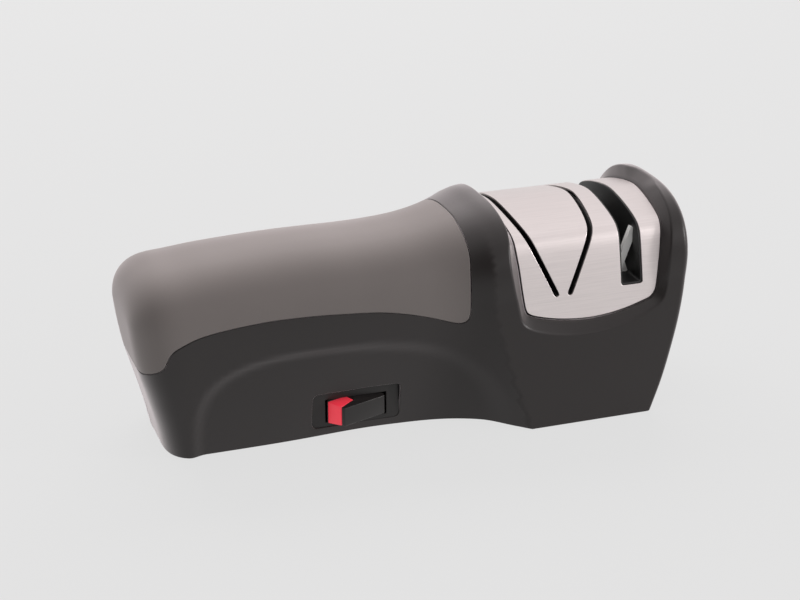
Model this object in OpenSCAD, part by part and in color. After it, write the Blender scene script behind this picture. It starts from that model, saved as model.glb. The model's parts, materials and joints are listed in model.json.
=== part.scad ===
// Electric knife sharpener, two-stage: two angled powered slots and one manual slot.
// Millimetres. X runs from the handle end (-) to the sharpening head (+), -Y is the switch side, Z is up.
// The origin is under the middle of the object, on the surface that it stands on.

/* [Body] */
// Overall length
body_l = 215; // [205:1:225]
// Half width of the grip at its widest height
grip_hw = 30; // [28:0.5:31]
// Half width of the handle at the foot
handle_foot_hw = 25.2; // [24.5:0.1:26]
// Half width of the sharpening head at its widest height
head_hw = 36.2; // [35:0.1:38]
// Half width of the sharpening head at the foot
head_foot_hw = 43.5; // [42:0.5:44.5]
// Height of the handle's top at the end
grip_top_end = 69.9; // [68:0.1:71]
// Height of the handle's top at its middle
grip_top = 73; // [72:0.1:74]
// Height of the collar and the end flange
head_top = 82; // [81:0.1:84]
// Wall thickness of the plastic shells
wall = 2.2; // [1.8:0.1:2.6]
// Height of the shell's lower edge above the floor
foot_gap = 0.3; // [0.2:0.1:0.8]
// Depth of the shallow side panel around the switch
panel_depth = 1.2; // [0.4:0.1:1.6]

/* [Steel cover] */
// Half width of the cover near its foot, 52 mm above the floor
cover_hw = 32.2; // [31.8:0.1:32.4]
// Height of the cover's top
cover_top = 78.4; // [78:0.1:79]
// Sheet thickness
sheet_t = 0.8; // [0.6:0.1:1]
// Width of the two angled slots
slot_w = 2; // [1.8:0.1:2.6]
// Lean of the angled slots from upright, in degrees
slot_lean = 25; // [23:1:26]
// Width of the manual slot
manual_w = 9; // [8:0.5:9.5]
// Height of the angled slots' lower ends
slot_z = 48.9; // [48.5:0.1:50]
// Height of the manual slot's lower end
manual_z = 49.9; // [49.5:0.1:51]

/* [Drive] */
// Tooth module of the gear pair
gear_m = 0.8; // [0.8]
// Teeth on the motor pinion
pinion_teeth = 12; // [12]
// Teeth on the shaft gear
gear_teeth = 24; // [24]
// Diameter of the motor can
motor_d = 35.8; // [34:0.2:35.8]
// Height of the motor axis
motor_z = 21.9; // [21.9]
// Radius of the abrasive discs
disc_r = 20; // [18:0.5:20.5]
// Free sliding travel of each disc
disc_travel = 0.6; // [0.3:0.1:0.7]

/* [Switch] */
// Height of the rocker
rocker_h = 9; // [8.6:0.1:9.2]
// Tilt of the rocker's face to each side of its middle, in degrees
rocker_tilt = 19; // [16:1:19]

/* [Hidden] */
eps = 0.01;
xl = -body_l / 2;
xr = body_l / 2;
z1 = 51;                       // height where the side walls turn into the arched top
axis_z = motor_z + gear_m * (pinion_teeth + gear_teeth) / 2;   // wheel shaft
vx = 55.8;                     // middle between the two angled slots
vhalf = 2.8;                   // half distance between the slots at their lower ends
mx = 84.4;                     // middle of the manual slot
sx = -23.6;                    // middle of the rocker
sz = 10.2;
wx = -23.9;                    // middle of the recess around the switch
wz = 11.2;

function clamp(v, a, b) = min(max(v, a), b);
function mix(a, b, t) = a + (b - a) * t;
function smooth(t) = let (s = clamp(t, 0, 1)) s * s * (3 - 2 * s);
// how far a rounded end pulls in at distance e from that end
function round_in(e, r, n) = let (q = clamp(1 - e / r, 0, 1)) r * (1 - pow(max(0, 1 - pow(q, n)), 1 / n));
function spow(v, p) = sign(v) * pow(abs(v), p);

// smooth curve through points with uneven steps
function slope(k, i) = i == 0 ? (k[1][1] - k[0][1]) / (k[1][0] - k[0][0])
    : i == len(k) - 1 ? (k[i][1] - k[i - 1][1]) / (k[i][0] - k[i - 1][0])
    : let (a = k[i][0] - k[i - 1][0], b = k[i + 1][0] - k[i][0])
        (a * a * k[i + 1][1] + (b * b - a * a) * k[i][1] - b * b * k[i - 1][1]) / (a * b * (a + b));
function through_knots(k, x, i = 0) = x <= k[0][0] ? k[0][1] : i > len(k) - 2 ? k[len(k) - 1][1]
    : x > k[i + 1][0] ? through_knots(k, x, i + 1)
    : let (h = k[i + 1][0] - k[i][0], t = (x - k[i][0]) / h, t2 = t * t, t3 = t2 * t)
        (2 * t3 - 3 * t2 + 1) * k[i][1] + (t3 - 2 * t2 + t) * h * slope(k, i)
        + (3 * t2 - 2 * t3) * k[i + 1][1] + (t3 - t2) * h * slope(k, i + 1);

// lean of the two ends: the foot of each end is further in than its top
left_lean = [[0, 11.4], [10, 9.4], [22, 6.3], [34, 3.1], [42, 1.7], [50, 0.7], [60, 0], [95, 0]];
right_lean = [[0, -17.3], [12, -11.9], [24, -7.6], [36, -4], [48, -1.5], [58, -0.4], [70, 0], [95, 0]];
function lean_l(z) = through_knots(left_lean, z);
function lean_r(z) = through_knots(right_lean, z);
function place_x(u, z) = u + lean_l(z) * pow(clamp((-54.8 - u) / 52.7, 0, 1), 1.3)
    + lean_r(z) * clamp((u - 62.2) / (xr - 62.2), 0, 1);
// where the slim handle widens into the head
function flare_x(z) = 26.2 + 13.6 * pow(clamp((52 - z) / 52, 0, 1), 1.3);
function flare(u, z) = let (b = flare_x(z), l = 24 + 20 * clamp((52 - z) / 52, 0, 1))
    pow(clamp((u - b + l) / l, 0, 1), 2.6);
// line of the top, from the handle's end over the rising collar to the end flange
top_line = [[-107.5, grip_top_end], [-90, grip_top_end], [-76, grip_top_end + 1.5], [-62, grip_top - 0.7], [-48, grip_top - 0.1],
    [-34, grip_top], [-20, grip_top - 0.1], [-8, grip_top + 0.2], [4, grip_top + 1.3], [13, grip_top + 3], [20, head_top - 4.3],
    [26, head_top - 2.6], [31, head_top - 0.8], [35, head_top - 0.2], [60, head_top], [92, head_top], [100, head_top + 0.4], [107.5, head_top + 0.4]];
function top_z(u) = through_knots(top_line, u);
// shallow panel in both side walls, deepest low down around the switch
function panel(x, z) = let (p = x < -27 ? 3.6 : 2.3,
    v = pow(abs(x + 27) / 62, p) + pow(max(z, 0) / 40, p))
    (panel_depth + clamp(1 - z / 40, 0, 1) * (0.95 + 2 * exp(-pow((x + 19) / 24, 2)))) * smooth((1 - v) / 0.2);

// one cross-section of the shell at station u, pulled in by o: front foot, over the top, back foot
NL = 7; NA = 17;
function section(u, o, z0) = let (
    dw = round_in(u - xl, 18.6, 2.5), dt = round_in(u - xl, 17.9, 2.35), dr = round_in(xr - u, 2.7, 2),
    m1 = flare(u, z1), n = mix(2.6, 2.74, m1),
    w1 = mix(grip_hw, head_hw, m1) - dw - dr - o, zt = top_z(u) - dt - dr - o,
    lo = [for (i = [0:NL - 1]) let (z = mix(z0, z1, i / NL), s = z / z1,
        hw = mix(handle_foot_hw, grip_hw, 1 - pow(1 - s, 1.3)), hd = mix(head_foot_hw, head_hw, s),
        dl = round_in(u - xl, 18.6, mix(2.75, 2.5, smooth(z / 50))),
        w = mix(hw, hd, flare(u, z)) - dl - dr - o - panel(place_x(u, z), z)) [w, z]],
    up = [for (i = [0:NA - 1]) let (a = 90 * (i + 0) / (NA - 1))
        [w1 * spow(cos(a), 2 / n), z1 + (zt - z1) * spow(sin(a), 2 / n)]])
    concat([for (p = lo) [place_x(u, p[1]), -p[0], p[1]]], [for (p = up) [place_x(u, p[1]), -p[0], p[1]]],
        [for (i = [NA - 2:-1:0]) let (p = up[i]) [place_x(u, p[1]), p[0], p[1]]],
        [for (i = [NL - 1:-1:0]) let (p = lo[i]) [place_x(u, p[1]), p[0], p[1]]]);
M = 2 * (NL + NA) - 1;
function stations(o) = concat([for (e = [0, 0.5, 1.6, 3.6, 6.6, 10.6, 16]) xl + o + e],
    [for (x = [-83, -76, -69, -62, -50, -36, -22, -10, -2, 6, 13, 19, 24, 28, 31, 35, 41, 50, 62, 74, 86, 94, 100]) x],
    o > 0 ? [xr - o] : [xr - 2.7, xr - 2, xr - 1.1, xr - 0.4, xr - 0.05]);
// closed solid under that surface, from z0 up
module loft(o, z0) {
    st = stations(o); n = len(st);
    pts = [for (u = st) each section(u, o, z0)];
    polyhedron(pts, concat(
        [for (i = [0:n - 2], j = [0:M - 2]) each let (a = i * M + j, b = a + 1, c = a + M, d = c + 1) [[a, b, d], [a, d, c]]],
        [for (i = [0:n - 2]) each let (a = i * M, b = a + M - 1, c = a + M, d = b + M) [[a, c, d], [a, d, b]]],
        [for (j = [0:(M - 1) / 2 - 1]) each let (a = j, b = j + 1, c = M - 1 - j, d = M - 2 - j)
            (b == d ? [[a, c, b]] : [[a, c, d], [a, d, b]])],
        [for (j = [0:(M - 1) / 2 - 1]) each let (k = (n - 1) * M, a = k + j, b = k + j + 1, c = k + M - 1 - j, d = k + M - 2 - j)
            (b == d ? [[a, b, c]] : [[a, b, d], [a, d, c]])]), convexity = 6);
}
// prism through the whole depth, drawn in the front view
module through(d = 120) { rotate([90, 0, 0]) linear_extrude(d, center = true) children(); }
module along_x(x, l) { translate([x, 0, 0]) rotate([90, 0, 90]) linear_extrude(l) children(); }
module rod_x(x, l, r, y = 0, z = 0, fn = 48) { translate([x, y, z]) rotate([0, 90, 0]) cylinder(l, r, r, $fn = fn); }

// outline of the grip above its seam, drawn by hand in the front view; g opens the seam
function seam(g) = [[-120, 32.6 + g], [-106.5, 32.9 + g], [-104.2, 33.6 + g], [-102.6, 35.1 + g], [-100.4, 36.5 + g], [-98.5, 37.8 + g],
    [-97 - 0.5 * g, 39.4 + g], [-96.2 - 0.8 * g, 41.6 + 0.5 * g], [-95 - 0.8 * g, 44.3 + 0.5 * g], [-93.1, 46.3 + g], [-90.5, 47.7 + g], [-87.8, 48.9 + g],
    [-84.3, 50.1 + g], [-80, 51 + g], [-75, 51.7 + g], [-68, 52.4 + g], [-58, 53 + g], [-50, 53 + g], [-40, 52.7 + g], [-30, 52 + g],
    [-20, 51.2 + g], [-12, 50 + g], [-4, 48.1 + g], [3, 46 + g], [8, 44.3 + g], [12.5 - 0.4 * g, 42.9 + g], [15.5 - 0.7 * g, 42.7 + g], [17.6 - g, 44 + 0.4 * g],
    [18.4 - g, 47], [18.5 - g, 58], [18.8 - g, 64], [19.3 - g, 70], [19.4 - g, 76], [19.9 - g, 79], [19.9 - g, 95], [-120, 95]];
// outline of the steel cover in the front view, grown by g
function cover_edge(g) = [[35.8 - g, 92], [36.4 - g, 78], [37.1 - g, 72.7], [37.6 - g, 67.6], [38.1 - g, 63.9], [38.6 - g, 59.3], [39.1 - g, 54],
    [39.6 - g, 49.6], [40.4 - g, 45.2 - 0.4 * g], [41.3 - 0.8 * g, 43.9 - 0.8 * g], [43 - 0.6 * g, 43 - g], [46.8 - 0.4 * g, 41.9 - g],
    [50.5 - 0.2 * g, 41 - g], [55, 40.3 - g], [60.5, 39.7 - g], [65.5, 39.5 - g], [70.5, 39.7 - g], [75.5, 40.2 - g], [79.6 + 0.2 * g, 40.9 - g],
    [83.6 + 0.3 * g, 41.8 - g], [87.3 + 0.4 * g, 42.8 - g], [90.9 + 0.6 * g, 43.9 - g], [92.9 + 0.8 * g, 45.2 - 0.8 * g], [94.2 + g, 47.2 - 0.4 * g],
    [95 + g, 51], [95.9 + g, 56.8], [96.7 + g, 61.8], [97.4 + g, 66.7], [98.1 + g, 72], [99.2 + g, 77], [99.6 + g, 92]];
// ridge between the body's surface and the bezel round the cover, in the front view
ridge = [[34.4, 92], [34.4, 79], [34.7, 76], [34.3, 73], [33.6, 70], [33.3, 66.8], [33.6, 60], [34.6, 55], [35.8, 50], [36.6, 45.5], [37.2, 42.9],
    [38.4, 40.8], [40.3, 39.3], [43, 38.1], [47, 36.8], [52, 35.7], [58, 34.9], [64, 34.8], [70, 35.1], [76, 36], [82, 37.3], [86.5, 38.7], [90.2, 40.2],
    [93.6, 42.1], [95.8, 44.2], [96.9, 46.8], [97.6, 50], [98.1, 54], [98.6, 60], [99.4, 66.5], [100.2, 70.7], [100.9, 74.2], [101.5, 78.3], [102.1, 81], [102.8, 82], [104, 82.4], [104, 92]];
// half profile of the steel cover seen along X: slanted side, tight bend, shallow dome
cover_side = [[cover_hw, 52], [cover_hw - 0.9, 56.6], [cover_hw - 1.8, 61.2], [cover_hw - 2.7, 65.2], [28.9, 67.3], [28.15, 69.3], [27.1, 71], [25.6, 72.4],
    [23.4, 73.55], [20.5, 74.6], [17, 75.65], [13, 76.6], [8.5, 77.5], [4, 78.15], [0, cover_top]];
// full profile pulled in by o, down to height zb
function arch(o, zb = 36) = let (p = concat([[cover_hw + 0.2 * (52 - zb), zb]], cover_side), m = len(p),
    q = [for (i = [0:m - 1]) i == m - 1 ? [0, p[i][1] - o] : i == 0 ? [p[0][0] - 1.02 * o, zb]
        : let (d = p[i + 1] - p[i - 1], l = norm(d)) [p[i][0] - o * d[1] / l, p[i][1] + o * d[0] / l]])
    concat([for (c = q) [-c[0], c[1]]], [for (i = [m - 2:-1:0]) q[i]]);
// one angled slot in the front view: s is -1 for the left one and 1 for the right one
module angled_slot(s, w, up = 40) {
    translate([vx + s * vhalf, slot_z + slot_w / 2]) rotate(-s * slot_lean) {
        translate([-w / 2, 0]) square([w, up]);
        circle(w / 2, $fn = 32);
    }
}
module manual_slot(w, z, r = 1) {
    translate([mx - w / 2, z + r]) square([w, 60]);
    translate([mx - w / 2 + r, z]) square([w - 2 * r, 60]);
    for (s = [-1, 1]) translate([mx + s * (w / 2 - r), z + r]) circle(r, $fn = 32);
}
module screw(r, l, head_r, head_h) {   // pan head down, shank up, cross recess in the head
    difference() {
        union() { cylinder(head_h, head_r, head_r, $fn = 32); cylinder(head_h + l, r, r, $fn = 32); }
        for (a = [0, 90]) rotate(a) translate([-head_r * 0.6, -0.35, -eps]) cube([head_r * 1.2, 0.7, head_h * 0.6]);
    }
}
// base screws: place and the end of the rib that carries the boss
screw_spots = [[-60, 17, 22.6], [-60, -17, 22.6], [48, 33, 40.2], [48, -33, 40.2], [81, 32, 40.2], [81, -32, 40.2]];
jack_x = -74; jack_z = 13;

module housing() {
    color([0.2, 0.19, 0.18]) difference() {
        union() {
            difference() {
                loft(0, foot_gap);
                difference() {
                    loft(wall, foot_gap - 1);
                    translate([26, -60, 60]) cube([80, 120, 40]);
                }
                through() polygon(seam(0));
                through() polygon(ridge);
                intersection() {
                    along_x(30, 73) polygon([[-29, 30], [-26, 54], [-22.5, 64], [-17, 68], [-9, 70.6], [0, 71.6], [9, 70.6], [17, 68], [22.5, 64], [26, 54], [29, 30]]);
                    through() polygon(cover_edge(5));
                }
            }
            // screw bosses with their ribs
            for (p = screw_spots) {
                translate([p[0], p[1], 3]) cylinder(15, 3.3, 3.3, $fn = 48);
                translate([p[0] - 1, min(p[1], sign(p[1]) * p[2]), 3]) cube([2, p[2] - abs(p[1]), 15]);
            }
            // ring that the cover's edge sits in
            intersection() {
                difference() {
                    along_x(26, 77.5) polygon(arch(-1, 20));
                    along_x(25, 81) polygon(arch(2, 10));
                }
                difference() { through() polygon(cover_edge(6)); through() polygon(cover_edge(0.3)); }
            }
        }
        // window of the switch, with rounded corners
        translate([0, -29, 0]) rotate([90, 0, 0]) linear_extrude(24, center = true) recess(17.5, 7.5, 2.2);
        for (p = screw_spots) translate([p[0], p[1], 2]) cylinder(12, 1.4, 1.4, $fn = 32);
        // hole of the power jack
        translate([jack_x, 15, jack_z]) rotate([-90, 0, 0]) cylinder(20, 4.6, 4.6, $fn = 48);
    }
}
module grip_cover() {
    color([0.42, 0.4, 0.39]) intersection() {
        difference() { loft(0, foot_gap); loft(wall, foot_gap - 1); }
        through() polygon(seam(0.3));
    }
}

function foot_line(o) = let (z = 1, s = z / z1,
    w = [for (u = stations(o)) let (dw = round_in(u - xl - o, 18.6, 2.75),
        hw = mix(handle_foot_hw, grip_hw, 1 - pow(1 - s, 1.3)), hd = mix(head_foot_hw, head_hw, s))
        [place_x(u, z), mix(hw, hd, flare(u, z)) - dw - o - panel(place_x(u, z), z)]])
    concat([for (p = w) [p[0], -p[1]]], [for (i = [len(w) - 1:-1:0]) w[i]]);
module base_plate() {
    color([0.16, 0.16, 0.16]) difference() {
        translate([0, 0, 1]) linear_extrude(2) polygon(foot_line(wall + 0.5));
        for (p = screw_spots) translate([p[0], p[1], 0]) {
            cylinder(4, 1.5, 1.5, $fn = 32);
            cylinder(2.25, 3, 3, $fn = 32);
        }
        for (x = [44, 62], y = [-14, 14]) translate([x, y, 0]) cylinder(4, 1.4, 1.4, $fn = 32);
    }
}
feet_at = [[-80, -11], [-80, 11], [36, -22], [36, 22], [79, -22], [79, 22]];
module rubber_feet() {
    color([0.08, 0.08, 0.08]) for (p = feet_at) translate([p[0], p[1], 0]) rotate_extrude($fn = 48)
        polygon([[0, 0], [4.2, 0], [4.7, 0.4], [4.7, 1], [0, 1]]);
}
module base_screws() {
    color([0.5, 0.5, 0.5]) for (p = screw_spots) translate([p[0], p[1], 1.05]) screw(1.35, 11, 2.7, 1.2);
}
module head_cover() {
    color([0.82, 0.8, 0.79]) intersection() {
        difference() {
            along_x(30, 75) polygon(arch(0, 36));
            along_x(29, 77) polygon(arch(sheet_t, 30));
            through() for (s = [-1, 1]) angled_slot(s, slot_w);
            through() manual_slot(manual_w, manual_z);
        }
        through() polygon(cover_edge(0));
    }
}
module powered_slot_guide() {
    color([0.1, 0.1, 0.1]) difference() {
        union() {
            intersection() {
                along_x(34, 44) polygon(arch(sheet_t, 46));
                through() for (s = [-1, 1]) angled_slot(s, slot_w + 2.6, 30.5);
            }
            translate([37, -28, 44]) cube([33, 56, 6]);
        }
        through() for (s = [-1, 1]) angled_slot(s, slot_w - 0.1);
        rod_x(vx - 3.7, 7.4, disc_r + 1.2, 0, axis_z, 96);
        rod_x(40.4, 7, 11.8, 0, axis_z, 64);
    }
}
module manual_slot_guide() {
    color([0.1, 0.1, 0.1]) difference() {
        union() {
            intersection() {
                along_x(76, 18) polygon(arch(sheet_t, 46));
                through() manual_slot(manual_w + 2.6, manual_z - 1.6, 1.4);
            }
            intersection() {
                along_x(76, 18) polygon(arch(0.35, 46));
                through() manual_slot(manual_w - 0.1, manual_z + 0.05);
            }
        }
        through() manual_slot(manual_w - 1.3, manual_z + 0.65);
        for (s = [-1, 1]) stones(s, 0.06);
    }
}
module stone_holder() {
    color([0.12, 0.12, 0.12]) difference() {
        union() {
            translate([mx - 6.5, -27, 38]) cube([13, 54, manual_z - 1.6 - 38]);
            for (y = [-24, 21]) translate([mx - 6, y, 3]) cube([10.5, 3, 36]);
        }
        for (s = [-1, 1]) stones(s, 0.06);
    }
}
// crossed honing stones: s is -1 for those that lean left and 1 for those that lean right
module stones(s, g = 0) {
    for (y = [-21, 21]) translate([mx, y + s * sign(y) * 1.25, 57]) rotate([0, s * 20, 0])
        translate([-1.4 - g, -1.2 - g, -14 - g]) cube([2.8 + 2 * g, 2.4 + 2 * g, 27 + 2 * g]);
}
module left_leaning_stones() { color([0.93, 0.93, 0.91]) stones(-1); }
module right_leaning_stones() { color([0.93, 0.93, 0.91]) stones(1); }

module gear_frame() {
    color([0.6, 0.6, 0.62]) difference() {
        union() {
            translate([36.5, -19, 3]) cube([32, 38, 2.5]);
            translate([36.5, -19, 3]) cube([2.5, 38, 41]);
            translate([66, -19, 3]) cube([2.5, 38, 41]);
        }
        rod_x(30, 20, 6.55, 0, motor_z);
        rod_x(30, 50, 5, 0, axis_z);
        for (y = [-12.5, 12.5]) rod_x(30, 20, 1.6, y, motor_z, 32);
        for (x = [44, 62], y = [-14, 14]) translate([x, y, 0]) cylinder(10, 1.4, 1.4, $fn = 32);
    }
}
module frame_screws() {
    color([0.6, 0.6, 0.6]) for (x = [44, 62], y = [-14, 14]) translate([x, y, 6.7]) rotate([180, 0, 0]) screw(1.35, 4.2, 2.6, 1.2);
}
module shaft_bushes() {
    color([0.75, 0.6, 0.3]) {
        difference() { union() { rod_x(36.6, 2.6, 5, 0, axis_z); rod_x(39, 0.8, 6.5, 0, axis_z); } rod_x(30, 20, 2.55, 0, axis_z); }
        difference() { union() { rod_x(65.8, 2.9, 5, 0, axis_z); rod_x(65.2, 0.8, 6.5, 0, axis_z); } rod_x(60, 20, 2.55, 0, axis_z); }
    }
}
module wheel_shaft() {
    color([0.75, 0.75, 0.77]) { rod_x(36.8, 33.2, 2.5, 0, axis_z); rod_x(vx - 0.25, 0.5, 7.5, 0, axis_z); }
}
module ring_x(x, l, ro, ri, z) { difference() { rod_x(x, l, ro, 0, z); rod_x(x - 1, l + 2, ri, 0, z); } }
module retaining_clips() {
    color([0.5, 0.5, 0.52]) for (x = [vx - 6.2, vx + 5.5]) ring_x(x, 0.7, 4.6, 2.5, axis_z);
}
// involute tooth flank and a spur gear outline, with a tooth pointing along +X
function flank(rb, r) = let (t = sqrt(max(0, r * r / (rb * rb) - 1)), a = t * 180 / PI - atan(t)) [r, a];
function gear_outline(z, m, add = 0.9) = let (r = m * z / 2, rb = r * cos(20), rf = r - 1.25 * m, ra = r + add * m,
    h = 90 / z * 0.97 + (tan(20) * 180 / PI - 20), f = [for (i = [0:5]) flank(rb, mix(max(rb, rf), ra, i / 5))])
    [for (k = [0:z - 1]) let (c = 360 * k / z) each concat([[rf * cos(c - h - 0.6), rf * sin(c - h - 0.6)]],
        [for (p = f) [p[0] * cos(c - h + p[1]), p[0] * sin(c - h + p[1])]],
        [for (i = [5:-1:0]) [f[i][0] * cos(c + h - f[i][1]), f[i][0] * sin(c + h - f[i][1])]],
        [[rf * cos(c + h + 0.6), rf * sin(c + h + 0.6)]])];
module shaft_gear() {
    color([0.9, 0.88, 0.8]) difference() {
        union() {
            translate([0, 0, axis_z]) along_x(41.2, 5) rotate(180 / gear_teeth) polygon(gear_outline(gear_teeth, gear_m));
            rod_x(46.2, 2, 5, 0, axis_z);
        }
        rod_x(40, 12, 2.5, 0, axis_z);
    }
}
module disc(s) {
    x = vx + s * 2.95;    // working face
    difference() {
        union() {
            rod_x(min(x, x - s * 1.4), 1.4, disc_r, 0, axis_z, 96);
            rod_x(min(x, x + s * 2.5), 2.5, 6, 0, axis_z);
        }
        rod_x(vx - 10, 20, 2.55, 0, axis_z);
    }
}
module left_disc() { color([0.7, 0.7, 0.7]) disc(-1); }
module right_disc() { color([0.7, 0.7, 0.7]) disc(1); }
// waved ring between the shaft's collar and a disc
module wave_spring(x, l) {
    n = 48; t = 0.3; a = (l - t) / 2;
    pts = [for (i = [0:n - 1]) let (c = 360 * i / n, w = x + l / 2 + a * cos(3 * c)) each
        [for (k = [[3, -1], [6.2, -1], [6.2, 1], [3, 1]]) [w + k[1] * t / 2, k[0] * cos(c), axis_z + k[0] * sin(c)]]];
    polyhedron(pts, [for (i = [0:n - 1], k = [0:3]) each let (a = i * 4 + k, b = i * 4 + (k + 1) % 4,
        c = ((i + 1) % n) * 4 + k, d = ((i + 1) % n) * 4 + (k + 1) % 4) [[a, d, b], [a, c, d]]]);
}
module left_disc_spring() { color([0.6, 0.62, 0.65]) wave_spring(vx - 1.55, 1.3); }
module right_disc_spring() { color([0.6, 0.62, 0.65]) wave_spring(vx + 0.25, 1.3); }

module motor_can() {
    color([0.7, 0.7, 0.72]) difference() {
        union() { rod_x(-5.5, 42, motor_d / 2, 0, motor_z, 96); rod_x(36.5, 2, 6.5, 0, motor_z); }
        rod_x(-10, 60, 1.65, 0, motor_z);
        for (y = [-12.5, 12.5]) rod_x(30, 20, 1.5, y, motor_z, 32);
    }
}
module motor_end_cap() {
    color([0.1, 0.1, 0.1]) difference() { rod_x(-9.5, 4, motor_d / 2 - 0.8, 0, motor_z, 96); rod_x(-12, 10, 1.65, 0, motor_z); }
}
module motor_terminals() {
    color([0.8, 0.65, 0.3]) for (y = [-9, 9]) translate([-14, y - 0.3, motor_z - 2.4]) cube([4.5, 0.6, 4.8]);
}
module motor_shaft() { color([0.8, 0.8, 0.82]) rod_x(-9.4, 56, 1.6, 0, motor_z); }
module motor_pinion() {
    color([0.75, 0.6, 0.3]) difference() {
        translate([0, 0, motor_z]) along_x(41.2, 5) rotate(90) polygon(gear_outline(pinion_teeth, gear_m));
        rod_x(40, 12, 1.6, 0, motor_z);
    }
}
module motor_screws() {
    color([0.5, 0.5, 0.5]) for (y = [-12.5, 12.5]) translate([40.3, y, motor_z]) rotate([0, -90, 0]) screw(1.45, 5, 2.6, 1.3);
}
px = -23.6; py = -19.8;        // rocker pivot
// rounded rectangle of the recess, by its half width and half height
module recess(a, b, r) {
    translate([wx - a, wz - b + r]) square([2 * a, 2 * (b - r)]);
    translate([wx - a + r, wz - b]) square([2 * (a - r), 2 * b]);
    for (i = [-1, 1], j = [-1, 1]) translate([wx + i * (a - r), wz + j * (b - r)]) circle(r, $fn = 32);
}
module switch_bezel() {
    color([0.15, 0.15, 0.14]) translate([0, -21.65, 0]) rotate([90, 0, 0]) linear_extrude(0.9, center = true) difference() {
        recess(17.3, 7.3, 2);
        translate([sx - 12.2, sz - rocker_h / 2 - 0.2]) square([24.4, rocker_h + 0.4]);
    }
}
module switch_body() {
    color([0.1, 0.1, 0.1]) difference() {
        translate([sx - 13.6, -21.2, sz - 6.1]) cube([27.2, 9.7, 12.2]);
        translate([sx - 12.4, -22, sz - rocker_h / 2 - 0.2]) cube([24.8, 8.5, rocker_h + 0.4]);
        translate([px, py, 0]) cylinder(30, 1.05, 1.05, $fn = 32);
    }
}
module switch_terminals() {
    color([0.8, 0.65, 0.3]) for (x = [-7, 7]) translate([sx + x - 2.4, -11.5, sz - 0.4]) cube([4.8, 6, 0.8]);
}
rocker_outline = [[-9.4, -6.7], [9.4, -6.7], [11.9, 1.1], [6, 4], [-6, 4], [-11.9, 1.1]];
// the outline's height, less towards the face
module rocker_part() {
    intersection() {
        translate([px, py, 0]) rotate(rocker_tilt) linear_extrude(30) children();
        translate([px, py, sz]) rotate(rocker_tilt) along_x(-20, 40) polygon([[-8, -3.8], [-6.7, -3.9], [1.1, -rocker_h / 2], [6, -rocker_h / 2],
            [6, rocker_h / 2], [1.1, rocker_h / 2], [-6.7, 3.5], [-8, 3.4]]);
    }
}
module inlay_area() { translate([-14, -5.3]) square([11.2, 5.8]); }
module rocker() {
    color([0.13, 0.13, 0.13]) union() {
        rocker_part() difference() { polygon(rocker_outline); inlay_area(); }
        translate([px, py, sz - 5.9]) cylinder(11.8, 1, 1, $fn = 32);
    }
}
module rocker_inlay() {
    color([0.85, 0.2, 0.28]) rocker_part() intersection() { polygon(rocker_outline); inlay_area(); }
}
module power_jack() {
    color([0.08, 0.08, 0.08]) difference() {
        union() {
            translate([jack_x, 9, jack_z]) rotate([-90, 0, 0]) cylinder(15.6, 4.5, 4.5, $fn = 48);
            translate([jack_x - 5.5, 9, jack_z - 5.5]) cube([11, 11.5, 11]);
        }
        translate([jack_x, 14, jack_z]) rotate([-90, 0, 0]) cylinder(12, 2.8, 2.8, $fn = 48);
        translate([jack_x, 10, jack_z]) rotate([-90, 0, 0]) cylinder(5, 1, 1, $fn = 32);
    }
}
module jack_pin() {
    color([0.85, 0.8, 0.6]) translate([jack_x, 11, jack_z]) rotate([-90, 0, 0]) cylinder(11.5, 1, 1, $fn = 32);
}
// insulated wire swept along a smooth curve through the route's points
function curve(p, i, t) = let (a = p[max(i - 1, 0)], b = p[i], c = p[i + 1], d = p[min(i + 2, len(p) - 1)])
    0.5 * (2 * b + (c - a) * t + (2 * a - 5 * b + 4 * c - d) * t * t + (3 * b - a - 3 * c + d) * t * t * t);
module wire(p, r) {
    k = 4; s = 8;
    path = concat([for (i = [0:len(p) - 2], j = [0:k - 1]) curve(p, i, j / k)], [p[len(p) - 1]]);
    n = len(path);
    pts = [for (i = [0:n - 1]) let (d = i == 0 ? p[1] - p[0] : i == n - 1 ? p[len(p) - 1] - p[len(p) - 2] : path[i + 1] - path[i - 1],
        u = cross(d, [0.12, 0.35, 1]), v = cross(u, d)) each
        [for (q = [0:s - 1]) path[i] + r * (cos(360 * q / s) * u / norm(u) + sin(360 * q / s) * v / norm(v))]];
    polyhedron(pts, concat([[for (q = [0:s - 1]) q]], [[for (q = [s - 1:-1:0]) (n - 1) * s + q]],
        [for (i = [0:n - 2], q = [0:s - 1]) each let (a = i * s + q, b = i * s + (q + 1) % s, c = a + s, e = b + s)
            [[a, e, b], [a, c, e]]]));
}
module supply_lead() {
    color([0.7, 0.1, 0.1]) wire([[jack_x, 9, 16], [jack_x, 5, 16], [-68, 0, 13], [-54, -2, 9], [-40, 0, 8], [sx - 8, 0, 9], [sx - 7, -2.5, sz], [sx - 7, -5.5, sz]], 1.1);
}
module motor_leads() {
    color([0.1, 0.1, 0.4]) {
        wire([[sx + 7, -5.5, sz], [sx + 7, -2.5, sz], [-19, 0, 14], [-20, -4, 20], [-18, -8.4, motor_z], [-14.25, -9, motor_z]], 1.1);
        wire([[jack_x + 3.5, 9, jack_z], [jack_x + 3.5, 5.5, jack_z], [-60, 5, 12], [-40, 6, 14], [-26, 8, 19], [-18, 9, motor_z], [-14.25, 9, motor_z]], 1.1);
    }
}

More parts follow.
